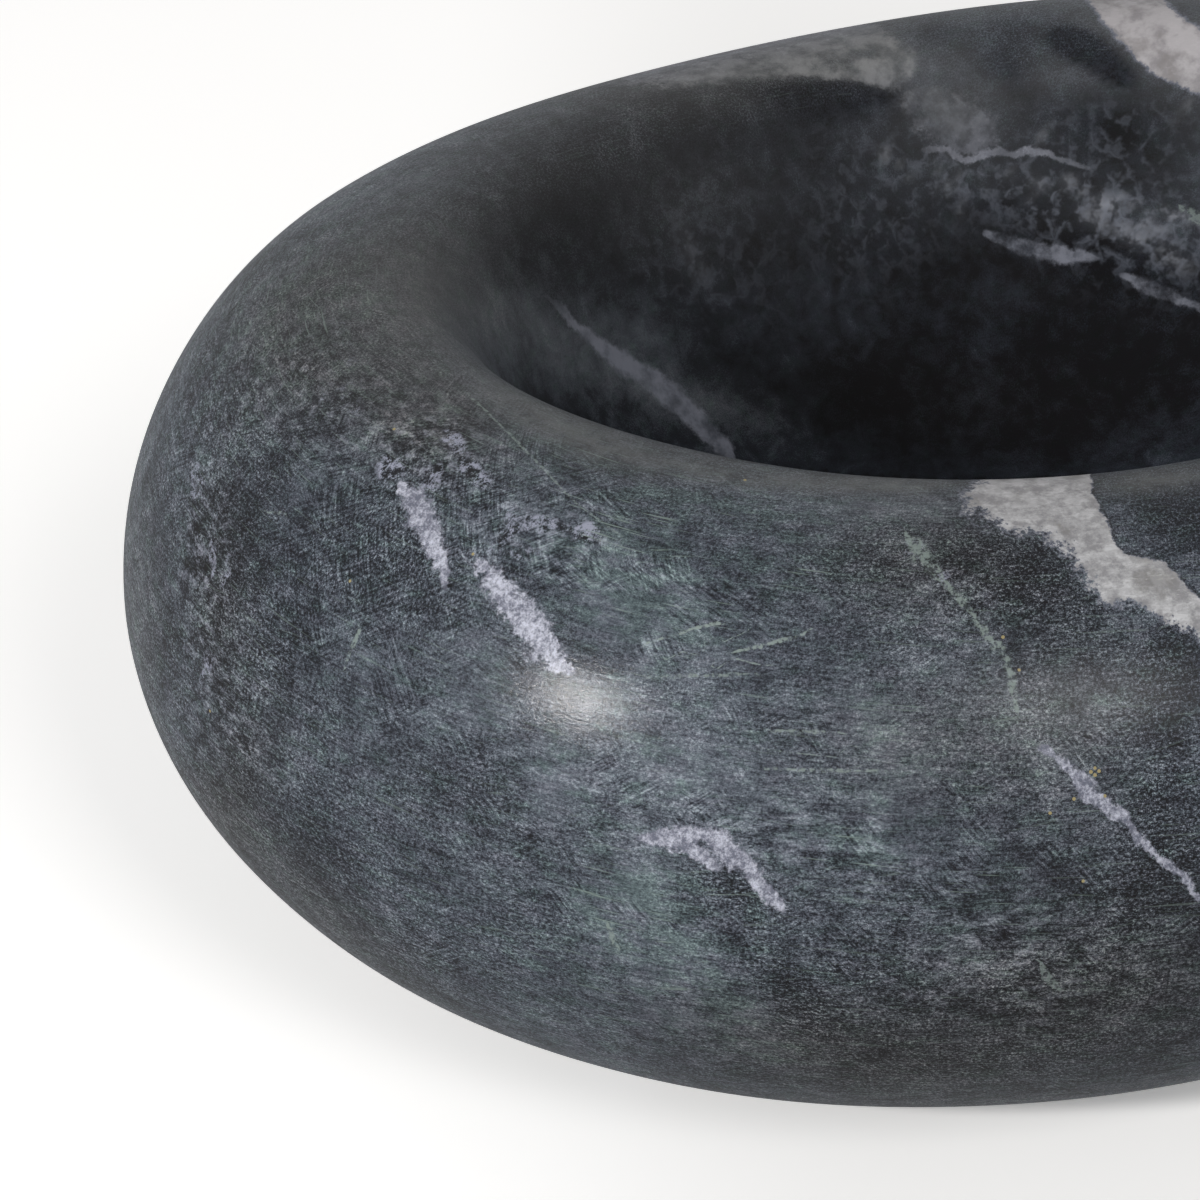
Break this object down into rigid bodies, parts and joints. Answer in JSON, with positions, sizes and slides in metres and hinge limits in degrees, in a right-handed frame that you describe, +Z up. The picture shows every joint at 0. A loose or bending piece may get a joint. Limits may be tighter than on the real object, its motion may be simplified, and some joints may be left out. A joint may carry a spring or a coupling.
{
  "type": "marble bowl",
  "caption": "Heavy oval bowl of honed dark marble with a thick rounded wall round a dished hollow, on small felt feet.",
  "frame": {"origin": "on the surface that the bowl stands on, under the centre of its oval plan", "axes": "+X along the long axis of the oval, +Y along its short axis, +Z up"},
  "size_m": [0.248, 0.212, 0.0891],
  "materials": {
    "marble": "honed dark blue-grey and green marble with white and pale grey veins, a soft satin sheen and fine tooling scratches",
    "felt": "dense black wool felt, die-cut"
  },
  "bodies": {
    "root": {"marble_bowl": "marble", "felt_foot_1": "felt", "felt_foot_2": "felt", "felt_foot_3": "felt", "felt_foot_4": "felt"}
  },
  "joints": []
}
